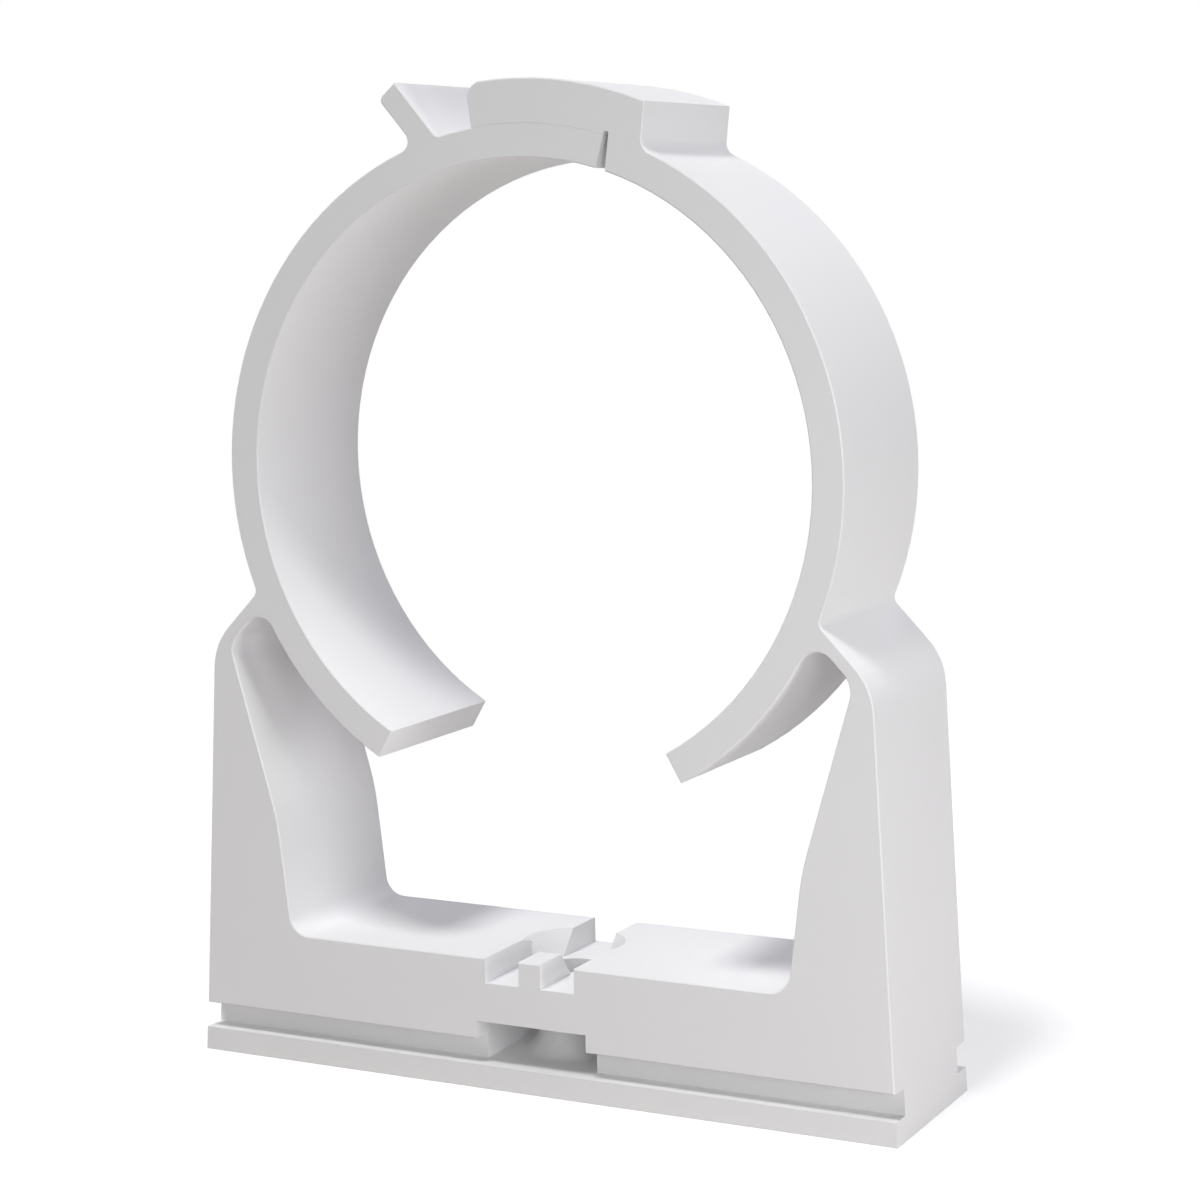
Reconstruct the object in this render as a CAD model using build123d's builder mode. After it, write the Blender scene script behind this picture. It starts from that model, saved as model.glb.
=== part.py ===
"""Self-closing pipe clip: one plastic moulding with a rail foot, two legs and a ring that latches on top."""

import os
from math import cos, radians, sin, tan

from build123d import *

# Driving dimensions, in millimetres and degrees.
# Angles round the ring start at its top and run clockwise, as seen from the front.

# Ring that holds the pipe
pipe_diameter = 50.0
ring_wall = 2.65
clip_width = 16.0
tail_opening = 60.0
edge_break = 0.1

# Foot, which stands on a wall or slides into a rail
foot_overhang = 4.35
foot_thickness = 2.0
groove_height = 2.2
groove_depth = 2.0
floor_height = 11.1
floor_clearance = 12.35

# Legs, whose outer faces run on down the ends of the foot
leg_draft = 3.3
leg_bend_height = 21.0
leg_bend_thickness = 6.75
leg_inner_slope_above = 16.2
leg_inner_slope_below = 6.8
leg_bend_radius = 20.0
leg_root_radius = 1.8

# Necks, the thin webs that let the ring flex on the legs
neck_angle = 112.8
neck_slope = 46.0
neck_thickness = 1.1
shoulder_radius = 5.5
armpit_radius = 2.0
arch_radius = 1.5
neck_crease_radius = 0.8

# Hook block on the right arm, which closes over the end of the left arm
hook_start_angle = -8.3
hook_end_angle = 21.2
hook_rise = 3.5
hook_end_lean = 6.0
hook_nose_radius = 1.3
hook_root_radius = 1.1
seam_gap = 0.01

# Slit between the ends of the two arms
slit_angle = 16.1
slit_mouth = 0.9
slit_tip = 0.42
slit_overrun = 0.35
slit_tip_radius = 0.19

# Pry wing on the left arm
wing_angle = -15.0
wing_lean = 40.8
wing_length = 5.8
wing_thickness = 2.0
wing_tip_radius = 0.5
wing_upper_root_radius = 0.6
wing_lower_root_radius = 0.9

# Screw hole, with its slots in the floor and its tube in the pocket
screw_hole_diameter = 4.5
head_recess_diameter = 8.7
head_recess_draft = 37.0
slot_width = 3.1
slot_length = 8.0
slot_depth = 2.1
rib_width = 2.0
notch_width = 4.1
notch_length = 8.0
pocket_width = 10.2
pocket_height = 3.7
tube_diameter = 6.0
tube_foot_radius = 1.8

# Values that follow from the driving dimensions
bore_radius = pipe_diameter / 2
ring_outer = bore_radius + ring_wall
axis_height = floor_height + floor_clearance + ring_outer
foot_length = 2 * (ring_outer + foot_overhang)
body_bottom = foot_thickness + groove_height
body_half = foot_length / 2 - body_bottom * tan(radians(leg_draft))
hook_outer = ring_outer + hook_rise
half_width = clip_width / 2
ring_centre = Vector(0, axis_height)
tiny = 1e-4


def from_top(angle):
    """Direction in the profile that stands at an angle clockwise from straight up."""
    return Vector(sin(radians(angle)), cos(radians(angle)))


def on_ring(radius, angle):
    """Point of the profile at a radius and an angle round the ring."""
    return ring_centre + from_top(angle) * radius


def meet(start, direction, other_start, other_direction):
    """Point where two lines of the profile cross."""
    normal = Vector(-other_direction.Y, other_direction.X)
    reach = (other_start - start).dot(normal) / direction.dot(normal)
    return start + direction * reach


def ring_corners(outline, side):
    """Corners of an outline on the outside of the ring, below the pipe's axis (-1) or above it (1)."""
    corners = outline.vertices().filter_by(
        lambda corner: abs((Vector(corner.X, corner.Y) - ring_centre).length - ring_outer) < tiny
    )
    return corners.filter_by(lambda corner: side * (corner.Y - axis_height) > ring_wall)


# Corners of the right leg, from the floor up its inner face and down its outer face
leg_outer_foot = Vector(body_half, body_bottom)
leg_bend = Vector(
    body_half - (leg_bend_height - body_bottom) * tan(radians(leg_draft)) - leg_bend_thickness,
    leg_bend_height,
)
leg_root = Vector(
    leg_bend.X - (leg_bend_height - floor_height) * tan(radians(leg_inner_slope_below)),
    floor_height,
)
neck_down = from_top(90 + neck_slope)
neck_upper = on_ring(ring_outer, neck_angle)
neck_lower = neck_upper - from_top(neck_slope) * neck_thickness
neck_sink = neck_down * (ring_wall / 2)
shoulder = meet(neck_upper, neck_down, leg_outer_foot, from_top(-leg_draft))
armpit = meet(neck_lower, neck_down, leg_bend, from_top(leg_inner_slope_above))

# Corners of the hook block's far end and of the pry wing
hook_corner = on_ring(hook_outer, hook_end_angle)
hook_end_down = from_top(180 + hook_end_lean)
hook_end_foot = hook_corner + hook_end_down * (hook_rise + ring_wall)
wing_out = from_top(-wing_lean)
wing_across = from_top(-wing_lean - 90)
wing_upper_root = on_ring(ring_outer, wing_angle)
wing_upper_tip = wing_upper_root + wing_out * wing_length
wing_lower_tip = wing_upper_tip + wing_across * wing_thickness
wing_sink = wing_out * ring_wall


with BuildPart() as pipe_clip:
    # Ring, legs, hook block and pry wing share one profile across the pipe
    with BuildSketch(Plane.XZ) as profile:
        with Locations(ring_centre):
            Circle(ring_outer)
        with BuildLine() as tail_wedge:
            Polyline(
                ring_centre,
                on_ring(2 * ring_outer, 180 - tail_opening / 2),
                on_ring(2 * ring_outer, 180 + tail_opening / 2),
                close=True,
            )
        make_face(mode=Mode.SUBTRACT)

        with BuildLine() as right_leg:
            FilletPolyline(
                Vector(0, floor_height),
                leg_root,
                leg_bend,
                armpit,
                neck_lower - neck_sink,
                neck_upper - neck_sink,
                shoulder,
                leg_outer_foot,
                Vector(0, body_bottom),
                radius=[0, leg_root_radius, leg_bend_radius, armpit_radius, 0, 0, shoulder_radius, 0, 0],
                close=True,
            )
        leg_face = make_face()
        mirror(leg_face, about=Plane.YZ)
        # From the bottom up, the corners on the ring are its tails, the arches and the neck creases
        fillet(ring_corners(profile, -1).group_by(Axis.Y)[2], neck_crease_radius)
        fillet(ring_corners(profile, -1).group_by(Axis.Y)[1], arch_radius)

        with BuildLine() as hook_outline:
            ThreePointArc(
                on_ring(hook_outer, hook_start_angle),
                on_ring(hook_outer, (hook_start_angle + hook_end_angle) / 2),
                hook_corner,
            )
            Polyline(
                hook_corner,
                hook_end_foot,
                on_ring(bore_radius, hook_start_angle),
                on_ring(hook_outer, hook_start_angle),
            )
        make_face()
        hook_nose = profile.vertices().sort_by_distance(on_ring(hook_outer, hook_start_angle))[0]
        fillet(hook_nose, hook_nose_radius)

        with BuildLine() as wing_outline:
            FilletPolyline(
                wing_upper_tip,
                wing_lower_tip,
                wing_lower_tip - wing_out * wing_length - wing_sink,
                wing_upper_root - wing_sink,
                radius=[0, wing_tip_radius, 0, 0],
                close=True,
            )
        make_face()
        # From the left, the corners on the ring are the wing's two roots and the hook block's two ends
        fillet(ring_corners(profile, 1).sort_by(Axis.X)[-1], hook_root_radius)
        fillet(ring_corners(profile, 1).sort_by(Axis.X)[0], wing_lower_root_radius)
        fillet(ring_corners(profile, 1).sort_by(Axis.X)[1], wing_upper_root_radius)
        with Locations(ring_centre):
            Circle(bore_radius, mode=Mode.SUBTRACT)
    extrude(amount=half_width, both=True)
    chamfer(pipe_clip.faces().filter_by(Axis.Y).edges(), edge_break)

    # Foot plate, and the narrower web above it that leaves a groove along the front and the back
    for height, depth in ((foot_thickness, clip_width), (body_bottom, clip_width - 2 * groove_depth)):
        with BuildSketch(Plane.XZ) as foot_outline:
            Trapezoid(foot_length, height, 90 - leg_draft, align=(Align.CENTER, Align.MIN))
        extrude(amount=depth / 2, both=True)

    # Pocket through the body, with the tube that carries the screw hole across it
    with BuildSketch(Plane.XZ) as pocket_outline:
        with Locations((0, foot_thickness)):
            Rectangle(pocket_width, pocket_height, align=(Align.CENTER, Align.MIN))
    extrude(amount=half_width, both=True, mode=Mode.SUBTRACT)
    with BuildSketch(Plane.XY.offset(foot_thickness)) as tube_outline:
        Circle(tube_diameter / 2)
    extrude(amount=pocket_height)
    tube_foot = pipe_clip.edges().filter_by(GeomType.CIRCLE)
    tube_foot = tube_foot.filter_by(lambda edge: abs(edge.radius - tube_diameter / 2) < tiny)
    fillet(tube_foot.sort_by(Axis.Z)[0], tube_foot_radius)

    # Two slots in front of the screw hole, a notch behind it, and the recess for the screw's head
    with BuildSketch(Plane.XY.offset(floor_height)) as slot_outline:
        for side in (-1, 1):
            with Locations((side * (rib_width + slot_width) / 2, -half_width)):
                Rectangle(slot_width, slot_length, align=(Align.CENTER, Align.MIN))
        with Locations((0, half_width)):
            Rectangle(notch_width, notch_length, align=(Align.CENTER, Align.MAX))
    extrude(amount=-slot_depth, mode=Mode.SUBTRACT)
    with BuildSketch(Plane.XY.offset(floor_height)) as head_recess_outline:
        Circle(head_recess_diameter / 2)
    extrude(amount=-slot_depth, taper=head_recess_draft, mode=Mode.SUBTRACT)
    with Locations((0, 0, floor_height)):
        Hole(screw_hole_diameter / 2, depth=floor_height)

    # Slit between the arms, and the seam where the hook block lies on the left arm
    with BuildSketch(Plane.XZ) as latch_gap:
        slit_way = from_top(slit_angle)
        slit_across = from_top(slit_angle + 90)
        slit_bottom = ring_centre + slit_way * (bore_radius - ring_wall)
        slit_top = ring_centre + slit_way * (ring_outer + slit_overrun)
        slit_depth = ring_wall + slit_overrun
        slit_widening = (slit_mouth - slit_tip) / slit_depth
        with BuildLine() as slit_outline:
            FilletPolyline(
                slit_bottom,
                slit_top,
                slit_top + slit_across * slit_tip,
                slit_bottom + slit_across * (slit_mouth + slit_widening * ring_wall),
                radius=[0, slit_tip_radius, slit_tip_radius, 0],
                close=True,
            )
        make_face()
        with BuildLine() as seam_outline:
            seam_start = hook_start_angle - 1
            seam_middle = (seam_start + slit_angle) / 2
            for radius in (ring_outer, ring_outer + seam_gap):
                ThreePointArc(
                    on_ring(radius, seam_start),
                    on_ring(radius, seam_middle),
                    on_ring(radius, slit_angle),
                )
            for angle in (seam_start, slit_angle):
                Line(on_ring(ring_outer, angle), on_ring(ring_outer + seam_gap, angle))
        make_face()
    extrude(amount=half_width, both=True, mode=Mode.SUBTRACT)

pipe_clip.part.label = "pipe_clip"

os.makedirs("parts", exist_ok=True)
export_step(pipe_clip.part, "parts/pipe_clip.step")
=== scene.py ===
"""Looks of the white pipe clip: one polypropylene moulding, lit softly on a pale studio floor."""

import logging
from dataclasses import dataclass
from enum import Enum
from math import radians
from typing import Any

import bmesh
import bpy
from mathutils import Euler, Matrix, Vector

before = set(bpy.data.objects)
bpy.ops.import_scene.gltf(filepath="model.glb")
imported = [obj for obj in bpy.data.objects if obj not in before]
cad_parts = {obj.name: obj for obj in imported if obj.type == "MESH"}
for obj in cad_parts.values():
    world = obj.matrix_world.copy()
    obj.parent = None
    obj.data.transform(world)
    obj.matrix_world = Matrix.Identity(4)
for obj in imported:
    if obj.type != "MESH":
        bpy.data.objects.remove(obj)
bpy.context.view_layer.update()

logging.basicConfig(level=logging.INFO, format="%(name)s: %(message)s")
log = logging.getLogger("pipe_clip_scene")

MM = 0.001

# Sockets of the Mix node for colours, whose names it also gives to its sockets for numbers
MIX_SHARE, MIX_FROM, MIX_TO = 0, 6, 7
MIX_RESULT = 2


class LampRole(Enum):
    """What each studio lamp does for the clip."""

    KEY = "overhead_softbox"
    FILL = "front_fill_softbox"
    CORNER = "front_right_panel"
    SIDE = "right_side_panel"
    REAR = "rear_softbox"
    REAR_LEFT = "rear_left_softbox"
    BACK = "back_fill_softbox"
    LEFT = "left_softbox"


class LampTint(Enum):
    """Colour of a lamp's cloth."""

    NEUTRAL = "#FFFFFF"
    COOL = "#FAFBFF"
    VIOLET = "#F3F0FF"


def linear(hex_colour: str) -> tuple[float, float, float, float]:
    """Turn an sRGB hex colour into linear light.

    Args:
        hex_colour: six hex digits after a hash sign.

    Returns:
        Red, green and blue in linear light, with an alpha of one.
    """
    parts = [int(hex_colour[start : start + 2], 16) / 255 for start in (1, 3, 5)]
    light = [part / 12.92 if part <= 0.04045 else ((part + 0.055) / 1.055) ** 2.4 for part in parts]
    return light[0], light[1], light[2], 1.0


def add_node(
    tree: bpy.types.NodeTree,
    kind: str,
    settings: dict[str, Any] | None = None,
    values: dict[str | int, Any] | None = None,
    links: dict[str | int, bpy.types.NodeSocket] | None = None,
) -> bpy.types.Node:
    """Add one shader node with its settings, fixed inputs and links.

    Args:
        tree: node tree that takes the node.
        kind: Blender's name for the kind of node.
        settings: attributes of the node itself.
        values: fixed values of its inputs, by name or number.
        links: sockets that feed its inputs, by name or number.

    Returns:
        The new node.
    """
    node = tree.nodes.new(kind)
    for name, value in (settings or {}).items():
        setattr(node, name, value)
    for name, value in (values or {}).items():
        node.inputs[name].default_value = value
    for name, socket in (links or {}).items():
        tree.links.new(socket, node.inputs[name])
    return node


def seen_rays(tree: bpy.types.NodeTree) -> bpy.types.NodeSocket:
    """Tell the rays that show the studio, also in a gloss, from those that only light the clip.

    Args:
        tree: node tree that takes the test.

    Returns:
        A socket that is one for a ray that shows the studio.
    """
    path = add_node(tree, "ShaderNodeLightPath").outputs
    bent = add_node(
        tree,
        "ShaderNodeMath",
        settings={"operation": "MAXIMUM"},
        links={0: path["Is Glossy Ray"], 1: path["Is Transmission Ray"]},
    )
    either = add_node(
        tree,
        "ShaderNodeMath",
        settings={"operation": "MAXIMUM"},
        links={0: path["Is Camera Ray"], 1: bent.outputs["Value"]},
    )
    return either.outputs["Value"]


@dataclass(frozen=True)
class MouldedPolypropylene:
    """White polypropylene as it leaves the mould."""

    name: str = "moulded_white_polypropylene"
    pale: str = "#F2F2F2"
    dull: str = "#EEEEEE"
    ior: float = 1.49
    roughness_low: float = 0.60
    roughness_high: float = 0.68
    flow_mm: float = 14.0
    flow_detail: float = 2.0
    flow_sharpness: float = 0.5
    grain_mm: float = 0.35
    grain_detail: float = 1.0
    grain_sharpness: float = 0.4
    grain_depth_mm: float = 0.004

    def material(self) -> bpy.types.Material:
        """Make the plastic: a satin white whose flow marks and grain only just show.

        Returns:
            The material.
        """
        made = bpy.data.materials.new(self.name)
        made.use_nodes = True
        tree = made.node_tree
        tree.nodes.clear()
        place = add_node(tree, "ShaderNodeTexCoord").outputs["Object"]
        # Melt that fills the mould unevenly leaves broad, faint clouds in the white and its sheen
        flow = add_node(
            tree,
            "ShaderNodeTexNoise",
            values={
                "Scale": 1 / (self.flow_mm * MM),
                "Detail": self.flow_detail,
                "Roughness": self.flow_sharpness,
            },
            links={"Vector": place},
        )
        colour = add_node(
            tree,
            "ShaderNodeMix",
            settings={"data_type": "RGBA"},
            values={MIX_FROM: linear(self.dull), MIX_TO: linear(self.pale)},
            links={MIX_SHARE: flow.outputs["Fac"]},
        )
        roughness = add_node(
            tree,
            "ShaderNodeMapRange",
            values={"To Min": self.roughness_low, "To Max": self.roughness_high},
            links={"Value": flow.outputs["Fac"]},
        )
        # The spark-eroded mould gives a satin grain, which spreads each highlight.
        # It is drawn a little coarser than life so that it shows at all
        grain = add_node(
            tree,
            "ShaderNodeTexNoise",
            values={
                "Scale": 1 / (self.grain_mm * MM),
                "Detail": self.grain_detail,
                "Roughness": self.grain_sharpness,
            },
            links={"Vector": place},
        )
        bump = add_node(
            tree,
            "ShaderNodeBump",
            values={"Distance": self.grain_depth_mm * MM},
            links={"Height": grain.outputs["Fac"]},
        )
        plastic = add_node(
            tree,
            "ShaderNodeBsdfPrincipled",
            values={"IOR": self.ior},
            links={
                "Base Color": colour.outputs[MIX_RESULT],
                "Roughness": roughness.outputs["Result"],
                "Normal": bump.outputs["Normal"],
            },
        )
        add_node(tree, "ShaderNodeOutputMaterial", links={"Surface": plastic.outputs["BSDF"]})
        return made


@dataclass(frozen=True)
class FloorPaint:
    """Matt paint of the studio floor, which fades into the white backdrop."""

    name: str = "matt_floor_paint"
    seen: str = "#F6F6F6"
    shaded: str = "#CFC9C5"
    glow: float = 0.3
    roughness: float = 0.9
    fade_start_mm: float = 90.0
    fade_end_mm: float = 260.0

    def material(self) -> bpy.types.Material:
        """Make the paint: white to look at, grey where it throws light back, clear at the rim.

        Returns:
            The material.
        """
        made = bpy.data.materials.new(self.name)
        made.use_nodes = True
        tree = made.node_tree
        tree.nodes.clear()
        looked_at = seen_rays(tree)
        colour = add_node(
            tree,
            "ShaderNodeMix",
            settings={"data_type": "RGBA"},
            values={MIX_FROM: linear(self.shaded), MIX_TO: linear(self.seen)},
            links={MIX_SHARE: looked_at},
        )
        # Rolled matt paint scatters light evenly, so it takes a soft shadow and has no gloss
        paint = add_node(
            tree,
            "ShaderNodeBsdfDiffuse",
            values={"Roughness": self.roughness},
            links={"Color": colour.outputs[MIX_RESULT]},
        )
        # A glow that only shows, and lights nothing, lifts the floor to the white of the backdrop
        lift = add_node(
            tree,
            "ShaderNodeMath",
            settings={"operation": "MULTIPLY"},
            values={1: self.glow},
            links={0: looked_at},
        )
        glow = add_node(tree, "ShaderNodeEmission", links={"Strength": lift.outputs["Value"]})
        lit = add_node(
            tree,
            "ShaderNodeAddShader",
            links={0: paint.outputs["BSDF"], 1: glow.outputs["Emission"]},
        )
        # Towards the rim the floor clears, so that no edge shows against the backdrop
        place = add_node(tree, "ShaderNodeTexCoord").outputs["Object"]
        reach = add_node(
            tree, "ShaderNodeVectorMath", settings={"operation": "LENGTH"}, links={0: place}
        )
        fade = add_node(
            tree,
            "ShaderNodeMapRange",
            settings={"interpolation_type": "SMOOTHSTEP"},
            values={"From Min": self.fade_start_mm * MM, "From Max": self.fade_end_mm * MM},
            links={"Value": reach.outputs["Value"]},
        )
        clear = add_node(tree, "ShaderNodeBsdfTransparent")
        surface = add_node(
            tree,
            "ShaderNodeMixShader",
            links={0: fade.outputs["Result"], 1: lit.outputs["Shader"], 2: clear.outputs["BSDF"]},
        )
        add_node(tree, "ShaderNodeOutputMaterial", links={"Surface": surface.outputs["Shader"]})
        return made


@dataclass
class PipeClip:
    """The clip itself, which keeps its solid from the CAD model."""

    node: str = "pipe_clip"
    finish: MouldedPolypropylene = MouldedPolypropylene()

    def dress(self) -> bpy.types.Object:
        """Give the solid its plastic.

        Returns:
            The dressed object.
        """
        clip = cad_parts[self.node]
        plastic = self.finish.material()
        clip.data.materials.clear()
        clip.data.materials.append(plastic)
        log.info("%s wears %s", clip.name, plastic.name)
        return clip


@dataclass
class StudioFloor:
    """Round floor that the clip stands on."""

    name: str = "studio_floor"
    radius_mm: float = 300.0
    rim_segments: int = 96
    drop_mm: float = 0.02
    finish: FloorPaint = FloorPaint()

    def build(self) -> bpy.types.Object:
        """Lay the floor just under the clip's foot.

        Returns:
            The floor.
        """
        mesh = bpy.data.meshes.new(self.name)
        shape = bmesh.new()
        bmesh.ops.create_circle(
            shape, cap_ends=True, segments=self.rim_segments, radius=self.radius_mm * MM
        )
        shape.to_mesh(mesh)
        shape.free()
        mesh.materials.append(self.finish.material())
        floor = bpy.data.objects.new(self.name, mesh)
        floor.location.z = -self.drop_mm * MM
        bpy.context.scene.collection.objects.link(floor)
        log.info("%s laid, %.0f mm across", self.name, 2 * self.radius_mm)
        return floor


@dataclass
class StudioRoom:
    """Dim room that looks white behind the clip."""

    name: str = "studio_room"
    level: float = 0.03
    backdrop: str = "#FFFFFF"
    backdrop_level: float = 1.0

    def build(self) -> bpy.types.World:
        """Make the world: a faint light from all sides, and plain white where it is seen.

        Returns:
            The world.
        """
        world = bpy.data.worlds.new(self.name)
        world.use_nodes = True
        tree = world.node_tree
        tree.nodes.clear()
        light, seen = (
            add_node(
                tree,
                "ShaderNodeBackground",
                values={"Color": linear(self.backdrop), "Strength": strength},
            ).outputs["Background"]
            for strength in (self.level, self.backdrop_level)
        )
        surface = add_node(
            tree, "ShaderNodeMixShader", links={0: seen_rays(tree), 1: light, 2: seen}
        )
        add_node(tree, "ShaderNodeOutputWorld", links={"Surface": surface.outputs["Shader"]})
        bpy.context.scene.world = world
        log.info("%s built, lit at %.2f", self.name, self.level)
        return world


@dataclass(frozen=True)
class Softbox:
    """One rectangular studio lamp, turned to the middle of the clip."""

    role: LampRole
    place_mm: tuple[float, float, float]
    size_mm: tuple[float, float]
    watts: float
    tint: LampTint = LampTint.NEUTRAL
    aim_mm: tuple[float, float, float] = (0.0, 0.0, 41.0)

    def hang(self) -> bpy.types.Object:
        """Hang the lamp and turn it to its aim.

        Returns:
            The lamp.
        """
        light = bpy.data.lights.new(self.role.value, "AREA")
        light.shape = "RECTANGLE"
        light.size = self.size_mm[0] * MM
        light.size_y = self.size_mm[1] * MM
        light.energy = self.watts
        light.color = linear(self.tint.value)[:3]
        lamp = bpy.data.objects.new(self.role.value, light)
        lamp.location = Vector(self.place_mm) * MM
        reach = Vector(self.aim_mm) - Vector(self.place_mm)
        lamp.rotation_euler = reach.to_track_quat("-Z", "Y").to_euler()
        lamp.visible_camera = False
        bpy.context.scene.collection.objects.link(lamp)
        log.info("%s hung, %.3f W", self.role.value, self.watts)
        return lamp


@dataclass
class StudioLamps:
    """All the lamps: one overhead, three round the front, one at the left and three behind."""

    # Each lamp's role, place, size and watts, and its tint where it isn't neutral
    lamps: tuple[Softbox, ...] = (
        Softbox(LampRole.KEY, (-113.0, -349.0, 971.0), (240.0, 220.0), 5.7),
        Softbox(LampRole.FILL, (490.0, -850.0, 250.0), (450.0, 450.0), 1.52, LampTint.COOL),
        Softbox(LampRole.CORNER, (110.0, -110.0, 40.0), (40.0, 100.0), 0.047, LampTint.COOL),
        Softbox(LampRole.SIDE, (330.0, -60.0, 40.0), (100.0, 120.0), 0.333),
        Softbox(LampRole.REAR, (237.0, 728.0, 684.0), (400.0, 400.0), 2.5, LampTint.VIOLET),
        Softbox(LampRole.REAR_LEFT, (-663.0, 383.0, 684.0), (400.0, 400.0), 1.1, LampTint.VIOLET),
        Softbox(LampRole.BACK, (-140.0, 980.0, 180.0), (400.0, 400.0), 1.3),
        Softbox(LampRole.LEFT, (-860.0, -150.0, 450.0), (500.0, 500.0), 0.7),
    )

    def hang(self) -> list[bpy.types.Object]:
        """Hang every lamp in its place."""
        return [lamp.hang() for lamp in self.lamps]


@dataclass
class PhotoCamera:
    """Camera at the photograph's viewpoint, fitted to the ring, the legs and the foot."""

    name: str = "photo_camera"
    place_mm: tuple[float, float, float] = (107.2, -205.5, 71.6)
    turn_deg: tuple[float, float, float] = (82.23, 0.72, 26.82)
    lens_mm: float = 84.9
    sensor_mm: float = 36.0
    near_mm: float = 10.0
    far_mm: float = 10000.0

    def build(self) -> bpy.types.Object:
        """Set up the camera and make it the scene's own.

        Returns:
            The camera.
        """
        data = bpy.data.cameras.new(self.name)
        data.lens = self.lens_mm
        data.sensor_width = self.sensor_mm
        data.clip_start = self.near_mm * MM
        data.clip_end = self.far_mm * MM
        camera = bpy.data.objects.new(self.name, data)
        camera.location = Vector(self.place_mm) * MM
        camera.rotation_euler = Euler([radians(angle) for angle in self.turn_deg], "XYZ")
        bpy.context.scene.collection.objects.link(camera)
        bpy.context.scene.camera = camera
        log.info("%s placed, %.1f mm lens", self.name, self.lens_mm)
        return camera


def main() -> None:
    """Dress the clip, then build the studio round it."""
    PipeClip().dress()
    StudioFloor().build()
    StudioRoom().build()
    StudioLamps().hang()
    PhotoCamera().build()
    bpy.context.scene.view_settings.view_transform = "Standard"


if __name__ == "__main__":
    main()
